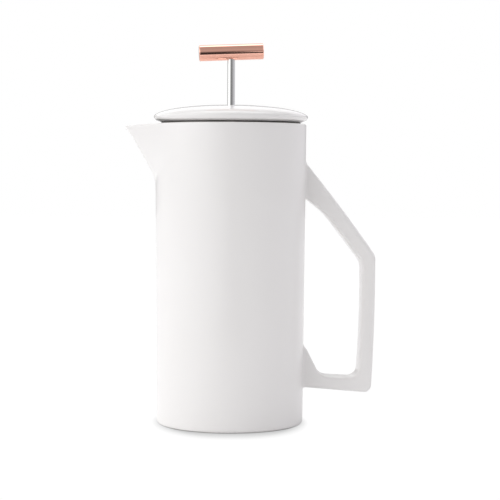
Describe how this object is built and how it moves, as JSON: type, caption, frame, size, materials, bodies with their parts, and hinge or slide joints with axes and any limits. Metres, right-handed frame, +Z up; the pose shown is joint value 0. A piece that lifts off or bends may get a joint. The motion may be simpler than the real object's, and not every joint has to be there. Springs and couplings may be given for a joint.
{
  "type": "french press",
  "caption": "Tall glazed ceramic coffee press with a pulled spout, an angular loop handle, a domed lid and a rod with a copper bar knob that drives a mesh filter.",
  "frame": {"origin": "centre of the flat base, on the pot's axis", "axes": "+Z up along the pot's axis, +X towards the handle, -X towards the spout, +Y to the back as the picture looks"},
  "size_m": [0.156, 0.096, 0.2368],
  "materials": {
    "glaze": "glossy white glaze with a soft sheen",
    "silicone": "dark matte silicone",
    "sheet_steel": "satin pressed stainless sheet",
    "polished_steel": "polished stainless steel",
    "woven_steel": "fine woven stainless mesh",
    "spring_wire": "drawn stainless spring wire",
    "copper": null
  },
  "bodies": {
    "pot": {"pot_shell": "glaze", "handle": "glaze"},
    "lid_ring": {"lid_seal": "silicone"},
    "lid": {"lid_dome": "glaze", "lid_strainer": "sheet_steel", "guide_bush": "polished_steel", "guide_seal": "silicone", "guide_washer": "sheet_steel", "guide_nut": "polished_steel"},
    "filter": {"filter_hub": "polished_steel", "cross_plate": "sheet_steel", "mesh_screen": "woven_steel", "spring_plate": "sheet_steel", "edge_spring": "spring_wire", "clamp_washer": "sheet_steel"},
    "plunger": {"plunger_rod": "polished_steel", "lock_nut": "polished_steel", "knob_bar": "copper"}
  },
  "joints": [
    {"name": "lid_lift", "type": "slide", "parent": "pot", "child": "lid_ring", "axis": [0, 0, 1], "range_m": [0, 0.2]},
    {"name": "lid_turn", "type": "hinge", "parent": "lid_ring", "child": "lid", "pos_m": [0, 0, 0.1877], "axis": [0, 0, 1], "continuous": true},
    {"name": "plunger_slide", "type": "slide", "parent": "lid", "child": "filter", "axis": [0, 0, 1], "range_m": [0, 0.16]},
    {"name": "knob_turn", "type": "hinge", "parent": "filter", "child": "plunger", "pos_m": [0, 0, 0.231], "axis": [0, 0, 1], "continuous": true}
  ]
}
